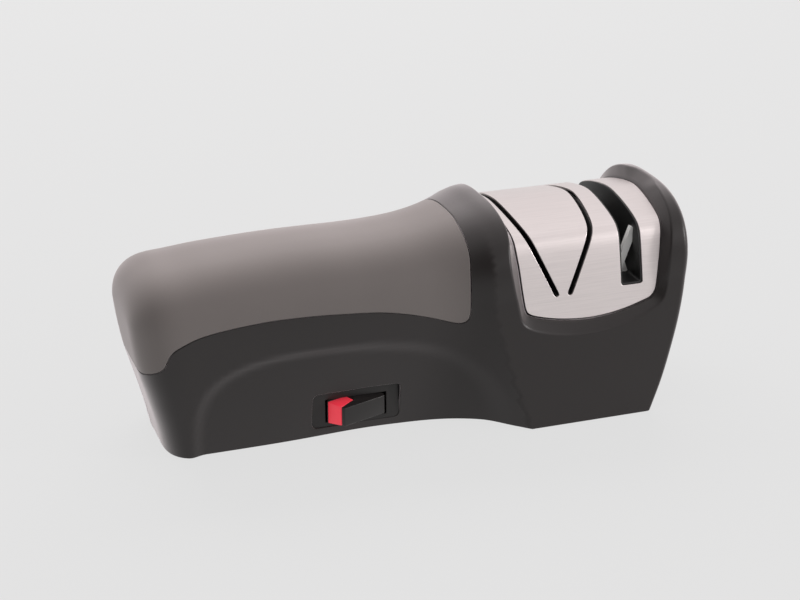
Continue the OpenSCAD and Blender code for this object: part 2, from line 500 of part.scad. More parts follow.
housing();
grip_cover();
base_plate();
rubber_feet();
base_screws();
head_cover();
powered_slot_guide();
manual_slot_guide();
stone_holder();
left_leaning_stones();
right_leaning_stones();
gear_frame();
shaft_bushes();
frame_screws();
wheel_shaft();
shaft_gear();
retaining_clips();
left_disc();
right_disc();
left_disc_spring();
right_disc_spring();
motor_can();
motor_end_cap();
motor_terminals();
motor_shaft();
motor_pinion();
motor_screws();
switch_bezel();
switch_body();
switch_terminals();
rocker();
rocker_inlay();
power_jack();
jack_pin();
supply_lead();
motor_leads();
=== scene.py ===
import bpy, bmesh, math, json
import numpy as np
from mathutils import Vector, Matrix, kdtree
from mathutils.geometry import delaunay_2d_cdt


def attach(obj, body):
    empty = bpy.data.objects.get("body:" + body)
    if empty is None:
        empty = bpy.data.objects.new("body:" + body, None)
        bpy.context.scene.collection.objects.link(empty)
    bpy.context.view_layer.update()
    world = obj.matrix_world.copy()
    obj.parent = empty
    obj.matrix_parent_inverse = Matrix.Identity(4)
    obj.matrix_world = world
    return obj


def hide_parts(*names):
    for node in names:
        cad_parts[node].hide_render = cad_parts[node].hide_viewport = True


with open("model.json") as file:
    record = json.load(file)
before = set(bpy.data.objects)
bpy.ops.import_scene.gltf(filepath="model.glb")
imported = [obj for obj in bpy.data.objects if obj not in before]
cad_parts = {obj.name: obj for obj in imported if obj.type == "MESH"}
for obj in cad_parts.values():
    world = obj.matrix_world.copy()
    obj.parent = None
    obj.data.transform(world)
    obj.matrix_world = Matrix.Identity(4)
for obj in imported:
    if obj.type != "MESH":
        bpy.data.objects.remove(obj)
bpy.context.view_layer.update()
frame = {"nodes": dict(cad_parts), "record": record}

scene = bpy.context.scene
MM = 0.001

# ------------------------------------------------------------------ body surface, in millimetres
XL, XR = -107.3, 107.4
Z0, Z1 = 0.55, 51.0
GRIP_HW, FOOT_HW, HEAD_HW, HEAD_FOOT_HW = 30.0, 25.2, 36.2, 43.5
VA, VB = 50.7, 48.0            # length given to the side wall and to the arched top in the unrolled plan
VT = VA + VB
RL, RR = 18.6, 2.7             # rounding of the two ends
SL, SR = 27.0, 4.2             # length given to those roundings in the plan
S1 = SL + (XR - RR - XL - RL)
ST = S1 + SR
TOP = [(-107.5, 69.9), (-90, 69.9), (-76, 71.4), (-62, 72.3), (-48, 72.9), (-34, 73.0), (-20, 72.9), (-8, 73.2), (4, 74.3), (13, 76.0),
       (20, 77.7), (26, 79.4), (31, 81.2), (35, 81.8), (60, 82.0), (92, 82.0), (100, 82.4), (107.5, 82.4)]
LEAN_L = [(0, 11.4), (10, 9.4), (22, 6.3), (34, 3.1), (42, 1.7), (50, 0.7), (60, 0), (95, 0)]
LEAN_R = [(0, 17.3), (12, 11.9), (24, 7.6), (36, 4.0), (48, 1.5), (58, 0.4), (70, 0), (95, 0)]


def mix(a, b, t): return a + (b - a) * t
def smooth(t):
    s = np.clip(t, 0, 1)
    return s * s * (3 - 2 * s)
def curve(x, knots):
    """smooth curve through uneven knots"""
    k = np.asarray(knots, float)
    kx, ky = k[:, 0], k[:, 1]
    m = np.gradient(ky, kx)
    x = np.clip(x, kx[0], kx[-1])
    i = np.clip(np.searchsorted(kx, x) - 1, 0, len(kx) - 2)
    h = kx[i + 1] - kx[i]
    t = (x - kx[i]) / h
    return (2 * t ** 3 - 3 * t ** 2 + 1) * ky[i] + (t ** 3 - 2 * t ** 2 + t) * h * m[i] + (3 * t ** 2 - 2 * t ** 3) * ky[i + 1] + (t ** 3 - t ** 2) * h * m[i + 1]
def round_in(e, r, n):
    q = np.clip(1 - e / r, 0, 1)
    return r * (1 - np.power(np.maximum(0, 1 - q ** n), 1 / n))
def lean_l(z): return curve(z, LEAN_L)
def lean_r(z): return -curve(z, LEAN_R)
def place_x(u, z):
    return u + lean_l(z) * np.clip((-54.8 - u) / 52.7, 0, 1) ** 1.3 + lean_r(z) * np.clip((u - 62.2) / (XR - 62.2), 0, 1)
def flare(u, z):
    k = np.clip((52 - z) / 52, 0, 1)
    b = 26.2 + 13.6 * k ** 1.3
    l = 24 + 20 * k
    return np.clip((u - b + l) / l, 0, 1) ** 2.6
def top_z(u): return curve(u, TOP)
def panel(x, z):
    p = 2.3 + 1.3 * smooth((-7 - x) / 40)
    v = (np.abs(x + 27) / 62) ** p + (np.maximum(z, 0) / 40) ** p
    return (1.2 + np.clip(1 - z / 40, 0, 1) * (0.95 + 2.0 * np.exp(-((x + 19) / 24) ** 2))) * smooth((1 - v) / 0.34)
def u_of(s):
    s = np.asarray(s, float)
    f = np.clip(s / SL, 0, 1) * np.pi / 2
    g = np.clip((s - S1) / SR, 0, 1) * np.pi / 2
    left = XL + RL * (1 - np.maximum(np.cos(f), 0) ** (2 / 2.25))
    right = XR - RR * (1 - np.sin(g))
    return np.where(s < SL, left, np.where(s > S1, right, XL + RL + (s - SL)))
def s_of(u):
    u = np.asarray(u, float)
    q = np.clip(1 - (u - XL) / RL, 0, 1)
    left = np.arccos(np.clip(q ** (2.25 / 2), 0, 1)) / (np.pi / 2) * SL
    right = S1 + np.arcsin(np.clip(1 - (XR - u) / RR, 0, 1)) / (np.pi / 2) * SR
    return np.where(u < XL + RL, left, np.where(u > XR - RR, right, SL + (u - XL - RL)))
def section_n(u): return mix(2.6, 2.74, flare(u, Z1))
def apex_z(u): return top_z(u) - round_in(u - XL, 17.9, 2.35) - round_in(XR - u, RR, 2)
def surf(s, v):
    """front half of the body surface at plan point (s, v)"""
    s = np.clip(np.asarray(s, float), 0, ST)
    v = np.asarray(v, float)
    flip = np.where(v > VT, -1.0, 1.0)
    v = np.where(v > VT, 2 * VT - v, v)
    u = u_of(s)
    dr = round_in(XR - u, RR, 2)
    dw = round_in(u - XL, RL, 2.5) + dr
    zl = mix(Z0, Z1, np.clip(v / VA, -0.2, 1))
    dl = round_in(u - XL, RL, mix(2.75, 2.5, smooth(zl / 50))) + dr
    t = zl / Z1
    hw = mix(FOOT_HW, GRIP_HW, 1 - np.maximum(1 - t, 0) ** 1.3)
    hd = mix(HEAD_FOOT_HW, HEAD_HW, t)
    w = mix(hw, hd, flare(u, zl)) - dl - panel(place_x(u, zl), zl)
    n = section_n(u)
    w1 = mix(GRIP_HW, HEAD_HW, flare(u, Z1)) - dw
    a = np.clip((v - VA) / VB, 0, 1) * np.pi / 2
    ya = w1 * np.maximum(np.cos(a), 0) ** (2 / n)
    za = Z1 + (apex_z(u) - Z1) * np.maximum(np.sin(a), 0) ** (2 / n)
    up = v > VA
    y = np.where(up, ya, w)
    z = np.where(up, za, zl)
    return np.stack([place_x(u, z), -y * flip, z], -1)
def surf_n(s, v, hs=0.25, hv=0.7):
    s = np.asarray(s, float); v = np.asarray(v, float)
    a = surf(np.clip(s + hs, 0, ST), v) - surf(np.clip(s - hs, 0, ST), v)
    b = surf(s, v + hv) - surf(s, np.maximum(v - hv, -2))
    n = np.cross(a, b)
    return n / np.maximum(np.linalg.norm(n, axis=-1, keepdims=True), 1e-12)
def inv(x, z):
    """plan point of the front surface point that is seen at (x, z) in the front view"""
    x = np.asarray(x, float); z = np.asarray(z, float)
    lo = np.full(x.shape, XL); hi = np.full(x.shape, XR)
    for _ in range(50):
        m = (lo + hi) / 2
        c = place_x(m, z) < x
        lo = np.where(c, m, lo); hi = np.where(c, hi, m)
    u = (lo + hi) / 2
    q = np.clip((z - Z1) / np.maximum(apex_z(u) - Z1, 1e-6), 0, 1)
    a = np.arcsin(q ** (section_n(u) / 2))
    return s_of(u), np.where(z <= Z1, (z - Z0) / (Z1 - Z0) * VA, VA + a / (np.pi / 2) * VB)
def s_at(xf, v, it=6):
    """plan s of the curve x = xf(z) at plan heights v, for the upper part of the body"""
    s = s_of(np.clip(xf(np.full(np.shape(v), 60.0)), XL, XR))
    for _ in range(it):
        p = surf(s, v)
        s = np.clip(s + (xf(p[..., 2]) - p[..., 0]), 0, ST)
    return s


# ------------------------------------------------------------------ meshing
def resample(pts, h, closed=False):
    p = np.asarray(pts, float)
    if closed: p = np.vstack([p, p[:1]])
    d = np.linalg.norm(np.diff(p, axis=0), axis=1)
    keep = np.concatenate([[True], d > 1e-9]); p = p[keep]
    d = np.linalg.norm(np.diff(p, axis=0), axis=1)
    c = np.concatenate([[0], np.cumsum(d)])
    n = max(2, int(round(c[-1] / h)))
    t = np.linspace(0, c[-1], n + 1)
    q = np.stack([np.interp(t, c, p[:, k]) for k in range(p.shape[1])], 1)
    return q[:-1] if closed else q
def spline(pts, k=8):
    p = np.asarray(pts, float)
    e = np.vstack([2 * p[0] - p[1], p, 2 * p[-1] - p[-2]])
    out = []
    for i in range(len(p) - 1):
        a, b, c, d = e[i:i + 4]
        for t in np.arange(k) / k:
            out.append(0.5 * (2 * b + (c - a) * t + (2 * a - 5 * b + 4 * c - d) * t * t + (3 * b - a - 3 * c + d) * t ** 3))
    out.append(p[-1])
    return np.array(out)
def chain(*parts):
    """joins polylines end to start into one closed loop"""
    out = []
    for p in parts:
        p = np.asarray(p, float)
        if out and np.linalg.norm(out[-1] - p[0]) < 1e-6: p = p[1:]
        out.extend(list(p))
    if np.linalg.norm(out[0] - out[-1]) < 1e-6: out.pop()
    return np.array(out)
def inside(q, loops):
    r = np.zeros(len(q), bool)
    for l in loops:
        a = l; b = np.roll(l, -1, 0)
        for i in range(0, len(q), 4000):
            x = q[i:i + 4000, 0][:, None]; y = q[i:i + 4000, 1][:, None]
            c = (a[:, 1] > y) != (b[:, 1] > y)
            dy = np.where(b[:, 1] == a[:, 1], 1e-12, b[:, 1] - a[:, 1])
            xi = a[:, 0] + (y - a[:, 1]) * (b[:, 0] - a[:, 0]) / dy
            r[i:i + 4000] ^= (np.sum(c & (x < xi), 1) % 2 == 1)
    return r
def fill(loops, h, extra=None):
    """fills a plan area bounded by closed loops with even triangles; the loops' own points come first"""
    loops = [np.asarray(l, float) for l in loops]
    bp = np.vstack(loops)
    lo = bp.min(0); hi = bp.max(0)
    ny = int((hi[1] - lo[1]) / (h * 0.866)) + 2
    g = []
    for j in range(ny):
        x = np.arange(lo[0] + (j % 2) * h / 2 - h, hi[0] + h, h)
        g.append(np.stack([x, np.full(len(x), lo[1] + j * h * 0.866)], 1))
    def clear(cand, near, d):
        tree = kdtree.KDTree(len(near))
        for i, p in enumerate(near): tree.insert((p[0], p[1], 0), i)
        tree.balance()
        cand = cand[inside(cand, loops)]
        return np.array([p for p in cand if tree.find((p[0], p[1], 0))[2] > d]).reshape(-1, 2)
    allp = bp
    if extra is not None: allp = np.vstack([bp, clear(np.asarray(extra, float), bp, 0.45)])
    allp = np.vstack([allp, clear(np.vstack(g), allp, 0.62 * h)])
    edges = []; k = 0
    for l in loops:
        n = len(l)
        edges += [(k + i, k + (i + 1) % n) for i in range(n)]
        k += n
    out = delaunay_2d_cdt([Vector((float(p[0]), float(p[1]))) for p in allp], edges, [], 0, 1e-7, False)
    v = np.array([(p.x, p.y) for p in out[0]])
    t = np.array(out[2], int)
    c = v[t].mean(1)
    t = t[inside(c, loops)]
    a, b, c = v[t[:, 0]], v[t[:, 1]], v[t[:, 2]]
    area = (b[:, 0] - a[:, 0]) * (c[:, 1] - a[:, 1]) - (b[:, 1] - a[:, 1]) * (c[:, 0] - a[:, 0])
    t = np.where((area < 0)[:, None], t[:, ::-1], t)
    return v, t
def unit(v): return v / np.maximum(np.linalg.norm(v, axis=-1, keepdims=True), 1e-12)


class Shell:
    """patches of surface points with their normals, joined into one walled shell"""
    def __init__(self):
        self.P, self.N, self.F, self.n = [], [], [], 0
    def add(self, P, N, F, flip=False):
        P = np.asarray(P, float); N = np.asarray(N, float)
        for f in F:
            f = [int(i) + self.n for i in f]
            self.F.append(f[::-1] if flip else f)
        self.P.append(P); self.N.append(N); self.n += len(P)
    def add_both(self, P, N, F):
        """the front patch and its mirror image at the back"""
        self.add(P, N, F)
        m = np.array([1, -1, 1.0])
        self.add(P * m, N * m, F, True)
    def grid(self, rows, normals=None, flip=False, both=False):
        """rows of points, each row the same length"""
        R = np.asarray(rows, float); a, b = R.shape[:2]
        if normals is None:
            du = np.gradient(R, axis=1); dv = np.gradient(R, axis=0)
            normals = unit(np.cross(du, dv))
            if flip: normals = -normals
        F = [(i * b + j, i * b + j + 1, (i + 1) * b + j + 1, (i + 1) * b + j) for i in range(a - 1) for j in range(b - 1)]
        if flip: F = [f[::-1] for f in F]
        P = R.reshape(-1, 3); N = np.asarray(normals).reshape(-1, 3)
        (self.add_both if both else self.add)(P, N, F)
    def build(self, name, t=1.6, r=0.35, k=3, wall=True):
        P = np.vstack(self.P); N = np.vstack(self.N)
        key = {}; idx = np.zeros(len(P), int); V = []
        for i, p in enumerate(np.round(P * 2000).astype(int)):
            c = tuple(p)
            if c not in key:
                key[c] = len(V); V.append(P[i])
            idx[i] = key[c]
        V = np.array(V)
        VN = np.zeros_like(V)
        faces, fn = [], []
        for f in self.F:
            g = []; gn = []
            for i in f:
                if idx[i] not in g:
                    g.append(idx[i]); gn.append(N[i])
            if len(g) >= 3:
                faces.append(g); fn.append(gn)
                for i, nn in zip(g, gn): VN[i] += nn
        VN = unit(VN)
        used = {}
        for f in faces:
            for a, b in zip(f, f[1:] + f[:1]): used[(a, b)] = used.get((a, b), 0) + 1
        nxt = {}
        for (a, b) in used:
            if (b, a) not in used: nxt.setdefault(a, []).append(b)
        loops = []
        while nxt:
            a = next(iter(nxt)); loop = [a]; cur = a
            while True:
                b = nxt[cur].pop()
                if not nxt[cur]: del nxt[cur]
                if b == a: break
                loop.append(b); cur = b
                if cur not in nxt: break
            loops.append(loop)
        self.loops = loops
        verts = [V]; nv = len(V)
        out_f = list(faces); out_n = list(fn)
        if wall:
            verts.append(V - t * VN)
            for f in faces:
                out_f.append([i + len(V) for i in f[::-1]])
                out_n.append([-VN[i] for i in f[::-1]])
            nv += len(V)
        for loop in loops:
            p = V[loop]; n = VN[loop]
            T = unit(np.roll(p, -1, 0) - np.roll(p, 1, 0))
            B = unit(np.cross(T, n))
            rows = [p]; rn = [n]
            for q in range(1, k + 1):
                a = q / k * math.pi / 2
                rows.append(p + r * math.sin(a) * B - r * (1 - math.cos(a)) * n)
                rn.append(math.cos(a) * n + math.sin(a) * B)
            rows.append(p + r * B - t * n); rn.append(B)
            base = [np.array(loop)]
            for R in rows[1:]:
                verts.append(R); base.append(np.arange(nv, nv + len(R))); nv += len(R)
            m = len(loop)
            for q in range(len(rows) - 1):
                for i in range(m):
                    j = (i + 1) % m
                    out_f.append([base[q][j], base[q][i], base[q + 1][i], base[q + 1][j]])
                    out_n.append([rn[q][j], rn[q][i], rn[q + 1][i], rn[q + 1][j]])
            if wall:
                last = base[-1]; inner = np.array(loop) + len(V)
                for i in range(m):
                    j = (i + 1) % m
                    out_f.append([last[j], last[i], inner[i], inner[j]])
                    out_n.append([-n[j], -n[i], -n[i], -n[j]])
        return make_mesh(name, np.vstack(verts) * MM, out_f, out_n)


def make_mesh(name, verts, faces, normals=None, smooth_all=True):
    me = bpy.data.meshes.new(name)
    me.from_pydata([tuple(map(float, v)) for v in verts], [], [tuple(int(i) for i in f) for f in faces])
    me.polygons.foreach_set("use_smooth", [smooth_all] * len(me.polygons))
    if normals is not None:
        me.normals_split_custom_set([tuple(map(float, n)) for f in normals for n in f])
    me.update()
    ob = bpy.data.objects.new(name, me)
    scene.collection.objects.link(ob)
    return ob


# ------------------------------------------------------------------ materials
def material(name):
    m = bpy.data.materials.new(name)
    m.use_nodes = True
    nt = m.node_tree
    b = nt.nodes.get("Principled BSDF")
    return m, nt, b
def node(nt, kind, **kw):
    n = nt.nodes.new(kind)
    for k, v in kw.items():
        if k in n.inputs: n.inputs[k].default_value = v
        else: setattr(n, k, v)
    return n
def coords(nt, scale=(1, 1, 1)):
    t = node(nt, "ShaderNodeTexCoord")
    m = node(nt, "ShaderNodeMapping")
    m.inputs["Scale"].default_value = scale
    nt.links.new(t.outputs["Object"], m.inputs["Vector"])
    return m.outputs["Vector"]
def ramp(nt, fac, stops):
    r = node(nt, "ShaderNodeValToRGB")
    e = r.color_ramp.elements
    while len(e) > len(stops): e.remove(e[-1])
    while len(e) < len(stops): e.new(0.5)
    for q, (p, c) in zip(e, stops):
        q.position = p
        q.color = (*c, 1) if len(c) == 3 else c
    nt.links.new(fac, r.inputs["Fac"])
    return r.outputs["Color"]
def plastic(name, col, rough, grain=900.0, bump=0.02, vary=0.06, spec=0.5, patch=14.0, rough_vary=0.04, coat=0.0, sheen=0.0, painted_glow=None):
    """moulded plastic: fine grain in the surface, slight unevenness of tone and gloss; sheen for a soft matte skin; an
    optional painted glow by emission brightens the colour though the part gives no light
    """
    m, nt, b = material(name)
    v = coords(nt)
    big = node(nt, "ShaderNodeTexNoise", Scale=patch, Detail=3.0, Roughness=0.55)
    nt.links.new(v, big.inputs["Vector"])
    lo = tuple(c * (1 - vary) for c in col); hi = tuple(c * (1 + vary) for c in col)
    nt.links.new(ramp(nt, big.outputs["Fac"], [(0.3, lo), (0.7, hi)]), b.inputs["Base Color"])
    mr = node(nt, "ShaderNodeMapRange")
    mr.inputs["To Min"].default_value = rough - rough_vary
    mr.inputs["To Max"].default_value = rough + rough_vary
    fine = node(nt, "ShaderNodeTexNoise", Scale=grain, Detail=4.0, Roughness=0.6)
    nt.links.new(v, fine.inputs["Vector"])
    nt.links.new(fine.outputs["Fac"], mr.inputs["Value"])
    nt.links.new(mr.outputs["Result"], b.inputs["Roughness"])
    if bump:
        bp = node(nt, "ShaderNodeBump", Strength=bump, Distance=0.0002)
        nt.links.new(fine.outputs["Fac"], bp.inputs["Height"])
        nt.links.new(bp.outputs["Normal"], b.inputs["Normal"])
    b.inputs["Specular IOR Level"].default_value = spec
    b.inputs["Coat Weight"].default_value = coat
    b.inputs["Sheen Weight"].default_value = sheen
    b.inputs["Sheen Roughness"].default_value = 0.4
    b.inputs["Sheen Tint"].default_value = (1.0, 0.92, 0.93, 1)
    if painted_glow:                                # painted glow: emission brightens the plastic though nothing inside it gives light
        b.inputs["Emission Color"].default_value = (*painted_glow[:3], 1)
        b.inputs["Emission Strength"].default_value = painted_glow[3]
    return m
def metal(name, col, rough, streak=(1, 1, 1), scale=400.0, vary=0.05, rough_vary=0.06, bump=0.03, aniso=0.0):
    m, nt, b = material(name)
    v = coords(nt, streak)
    n1 = node(nt, "ShaderNodeTexNoise", Scale=scale, Detail=5.0, Roughness=0.65)
    nt.links.new(v, n1.inputs["Vector"])
    lo = tuple(c * (1 - vary) for c in col); hi = tuple(min(1, c * (1 + vary)) for c in col)
    nt.links.new(ramp(nt, n1.outputs["Fac"], [(0.3, lo), (0.7, hi)]), b.inputs["Base Color"])
    mr = node(nt, "ShaderNodeMapRange")
    mr.inputs["To Min"].default_value = rough - rough_vary
    mr.inputs["To Max"].default_value = rough + rough_vary
    nt.links.new(n1.outputs["Fac"], mr.inputs["Value"])
    nt.links.new(mr.outputs["Result"], b.inputs["Roughness"])
    if bump:
        bp = node(nt, "ShaderNodeBump", Strength=bump, Distance=0.0002)
        nt.links.new(n1.outputs["Fac"], bp.inputs["Height"])
        nt.links.new(bp.outputs["Normal"], b.inputs["Normal"])
    b.inputs["Metallic"].default_value = 1.0
    b.inputs["Anisotropic"].default_value = aniso
    return m


MAT = {
    "black_shell": plastic("black_shell", (0.0150, 0.0124, 0.0118), 0.36, bump=0.03, spec=0.36, sheen=0.75),
    "grip_grey": plastic("grip_grey", (0.158, 0.141, 0.134), 0.6, bump=0.05, spec=0.3, sheen=0.38),
    "base_black": plastic("base_black", (0.02, 0.02, 0.02), 0.55),
    "foot_rubber": plastic("foot_rubber", (0.016, 0.016, 0.016), 0.8),
    "screw_steel": metal("screw_steel", (0.5, 0.5, 0.52), 0.35),
    "brushed_steel": metal("brushed_steel", (0.76, 0.705, 0.695), 0.40, streak=(0.02, 1, 1), scale=2600.0, vary=0.05, rough_vary=0.05, bump=0.04),
    "guide_black": plastic("guide_black", (0.012, 0.012, 0.012), 0.42),
    "white_ceramic": plastic("white_ceramic", (0.84, 0.84, 0.82), 0.4, vary=0.02),
    "frame_steel": metal("frame_steel", (0.6, 0.6, 0.62), 0.38),
    "bush_brass": metal("bush_brass", (0.62, 0.45, 0.2), 0.4),
    "shaft_steel": metal("shaft_steel", (0.66, 0.66, 0.68), 0.25, streak=(1, 0.05, 0.05)),
    "gear_plastic": plastic("gear_plastic", (0.7, 0.67, 0.58), 0.45, vary=0.03),
    "abrasive_disc": metal("abrasive_disc", (0.42, 0.42, 0.43), 0.6, scale=1500.0, vary=0.3, bump=0.3),
    "motor_steel": metal("motor_steel", (0.6, 0.6, 0.62), 0.3),
    "contact_brass": metal("contact_brass", (0.75, 0.56, 0.25), 0.32),
    "switch_black": plastic("switch_black", (0.0135, 0.0118, 0.0112), 0.36, spec=0.4, sheen=0.2),
    # the red end carries a painted glow: emission brightens its red, and the switch holds no lamp
    "switch_red": plastic("switch_red", (0.80, 0.040, 0.065), 0.3, vary=0.03, painted_glow=(0.9, 0.045, 0.075, 0.36)),
    "lead_red": plastic("lead_red", (0.4, 0.02, 0.02), 0.45),
    "lead_blue": plastic("lead_blue", (0.02, 0.03, 0.25), 0.45),
}


def place(ob, body, slot, *nodes):
    ob.data.materials.clear()
    ob.data.materials.append(MAT[slot])
    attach(ob, body)
    if nodes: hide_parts(*nodes)
    return ob


# ------------------------------------------------------------------ outlines drawn in the front view
SEAM = [(-106.5, 32.9), (-104.2, 33.6), (-102.6, 35.1), (-100.4, 36.5), (-98.5, 37.8), (-97.0, 39.4), (-96.2, 41.6), (-95, 44.3), (-93.1, 46.3),
        (-90.5, 47.7), (-87.8, 48.9), (-84.3, 50.1), (-80, 51), (-75, 51.7), (-68, 52.4), (-58, 53), (-50, 53), (-40, 52.7), (-30, 52),
        (-20, 51.2), (-12, 50), (-4, 48.1), (3, 46), (8, 44.3), (12.5, 42.9), (15.5, 42.7), (17.6, 44), (18.4, 47), (18.5, 51)]
SEAM_TOP = [(50, 18.5), (58, 18.5), (64, 18.8), (69, 19.3), (73, 19.3), (76, 19.3), (78, 19.9)]


def offset_line(p, d):
    """moves a polyline sideways, to its left for positive d"""
    p = np.asarray(p, float)
    t = unit(np.gradient(p, axis=0))
    return p + d * np.stack([-t[:, 1], t[:, 0]], 1)


def mirror_v(p):
    q = np.array(p, float)
    q[:, 1] = 2 * VT - q[:, 1]
    return q


def seam_plan(d):
    """front half of the seam in the plan, moved d mm into the grip (positive) or into the housing (negative)"""
    p = spline(SEAM, 10)
    p = np.vstack([p, [(18.5, 51 + q) for q in (1, 2, 3, 4)]])
    p = offset_line(p, d)
    s, v = inv(p[:, 0], p[:, 1])
    xe = XL + lean_l(p[:, 1])
    keep = p[:, 0] > xe + 0.05
    s, v = s[keep], v[keep]
    i = np.argmax(keep)
    z_end = p[i, 1]
    v_end = (z_end - Z0) / (Z1 - Z0) * VA
    pts = np.vstack([[0, v_end], np.stack([s, v], 1)])
    pts = resample(pts, 1.3)
    up = np.append(np.arange(pts[-1, 1], VT, 1.5)[1:], VT)
    tail = np.stack([s_at(lambda z: curve(z, SEAM_TOP) - d, up), up], 1)
    return np.vstack([pts, tail])


def left_end_rows(v):
    return np.stack([np.zeros(len(v)), v], 1)


def add_end(sh, side, loop_yz, h=3.0):
    """flat end face inside a loop given in (y, z)"""
    v, f = fill([loop_yz], h)
    y, z = v[:, 0], v[:, 1]
    if side < 0:
        P = np.stack([XL + lean_l(z), y, z], 1)
        d = (lean_l(z + 0.5) - lean_l(z - 0.5))
        N = unit(np.stack([-np.ones(len(z)), np.zeros(len(z)), d], 1))
        sh.add(P, N, f, True)
    else:
        P = np.stack([XR + lean_r(z), y, z], 1)
        d = (lean_r(z + 1.5) - lean_r(z - 1.5)) / 3
        N = unit(np.stack([np.ones(len(z)), np.zeros(len(z)), -d], 1))
        sh.add(P, N, f)


CORNER = np.array([(S1 + a, b + (k % 2) * 0.65) for k, a in enumerate((-1.6, -0.8, 0.0, 0.7, 1.4, 2.1, 2.8, 3.5)) for b in np.arange(0.6, 2 * VT, 1.3)])


def add_plan(sh, loops, h=2.2):
    v, f = fill(loops, h, CORNER)
    sh.add(surf(v[:, 0], v[:, 1]), surf_n(v[:, 0], v[:, 1]), f)


GAP, ROLL = 0.24, 0.28          # seam gap and edge rounding of the plastic shells


def line(a, b, h=1.3):
    return resample([a, b], h)


# grey grip cover: closed over the top, ends at the seam
def make_grip():
    sh = Shell()
    f = seam_plan(GAP / 2 + ROLL)
    b = mirror_v(f)[::-1]
    v0 = f[0, 1]
    left_v = np.concatenate([line((0, v0), (0, VT)), line((0, VT), (0, 2 * VT - v0))])
    loop = chain(f, b, left_v[::-1])
    add_plan(sh, [loop])
    lv = chain(left_v) if False else left_v
    P = surf(np.zeros(len(lv)), lv[:, 1])
    yz = chain(np.stack([P[:, 1], P[:, 2]], 1), line((P[-1, 1], P[-1, 2]), (P[0, 1], P[0, 2])))
    add_end(sh, -1, yz)
    return place(sh.build("grip_shell", t=1.9, r=ROLL), "main", "grip_grey", "grip_cover")


# ------------------------------------------------------------------ steel cover and its bezel
CTOP = 78.4
SIDE_BULGE = 0.28       # the slanted side is very slightly convex
SIDE = [(36.6, 31), (35.6, 36), (34.4, 41), (33.3, 46.5), (32.2, 52), (31.3, 56.6), (30.4, 61.2), (29.5, 65.2), (28.9, 67.3), (28.15, 69.3), (27.1, 71),
        (25.6, 72.4), (23.4, 73.55), (20.5, 74.6), (17, 75.65), (13, 76.6), (8.5, 77.5), (4, 78.15), (0, CTOP)]   # half profile seen along X


def profile():
    """even, evenly curved version of the half profile, top line first"""
    half = spline(SIDE + [(-4, 78.15), (-8.5, 77.5)], 12)
    t = np.clip((half[:, 1] - 38) / 29, 0, 1)
    half[:, 0] += SIDE_BULGE * 16 * t ** 2 * (1 - t) ** 2
    half = resample(half, 0.1)
    k = np.exp(-np.linspace(-2, 2, 33) ** 2); k /= k.sum()
    sm = np.stack([np.convolve(half[:, i], k, "valid") for i in (0, 1)], 1)
    sm = sm[sm[:, 0] > 0]
    return np.vstack([sm, [0, sm[-1, 1] + 0.002]])[::-1]


_sec = profile()
CTOP = float(_sec[0, 1])
_len = np.concatenate([[0], np.cumsum(np.linalg.norm(np.diff(_sec, axis=0), axis=1))])
_t = unit(np.gradient(_sec, axis=0))
_nrm = np.stack([-_t[:, 1], _t[:, 0]], 1)            # (outward y, z)
_nrm = np.where((_nrm[:, :1] < 0), -_nrm, _nrm)


def cover_pt(x, l, o=0.0):
    """cover surface at x and at unrolled distance l from the top line, front for positive l"""
    q = np.abs(l)
    y = np.interp(q, _len, _sec[:, 0]); z = np.interp(q, _len, _sec[:, 1])
    ny = np.interp(q, _len, _nrm[:, 0]); nz = np.interp(q, _len, _nrm[:, 1])
    sg = -np.sign(l) + (l == 0)
    k = np.sqrt(ny * ny + nz * nz)
    ny, nz = ny / k, nz / k
    ny = np.where(q < 1e-6, 0, ny); nz = np.where(q < 1e-6, 1, nz)
    P = np.stack([x, (y - o * ny) * sg, z - o * nz], -1)
    N = np.stack([np.zeros_like(x), ny * sg, nz], -1)
    return P, N


def l_of_z(z):
    return np.interp(-np.asarray(z, float), -_sec[:, 1], _len)


def z_of_l(l):
    return np.interp(np.abs(l), _len, _sec[:, 1])


# outline of the steel cover and, outside it, the ridge of the bezel, both in the front view; point by point they face each other
EDGE = [(38.45, 61), (38.95, 55.5), (39.5, 50.3), (40, 46.8), (40.5, 45), (41.2, 44), (42.4, 43.3), (44.2, 42.6), (47.6, 41.7), (52, 40.75), (57.5, 40),
        (63.5, 39.55), (69, 39.6), (75, 40.15), (80.8, 41.15), (85.2, 42.2), (88.8, 43.25), (91.4, 44.1), (93, 45.3), (94.1, 47.1), (94.7, 49.6), (95.3, 53), (96.6, 61)]
EDGE_L = [(54, 39.1), (61, 38.45), (67.6, 37.6), (72.7, 37.1), (78.4, 36.4)]
EDGE_R = [(54, 95.4), (61, 96.6), (66.7, 97.4), (72, 98.1), (77, 99.2), (78.4, 99.6)]
CREST = [(33.55, 61), (34.6, 55), (35.8, 50), (36.6, 45.5), (37.2, 42.9), (38.4, 40.8), (40.3, 39.3), (43, 38.1), (47, 36.8), (52, 35.7), (58, 34.9),
         (64, 34.8), (70, 35.1), (76, 36), (82, 37.3), (86.5, 38.7), (90.2, 40.2), (93.6, 42.1), (95.8, 44.2), (96.9, 46.8), (97.6, 50), (98.1, 54), (98.65, 61)]
CREST_L = [(58, 34), (61, 33.55), (66.8, 33.25), (70, 33.6), (73, 34.2), (76, 34.6), (79, 34.45), (82.5, 34.3)]
CREST_R = [(58, 98.4), (61, 98.65), (66.5, 99.4), (70.7, 100.2), (74.2, 100.9), (78.3, 101.5), (81, 102.1), (82, 102.8), (82.4, 104)]


def edge_front(g, pts=EDGE):
    """lower part of an outline in the front view, from z 61 at the left, under, to z 61 at the right, grown by g"""
    return offset_line(spline(pts, 8), -g)


UPN = 26


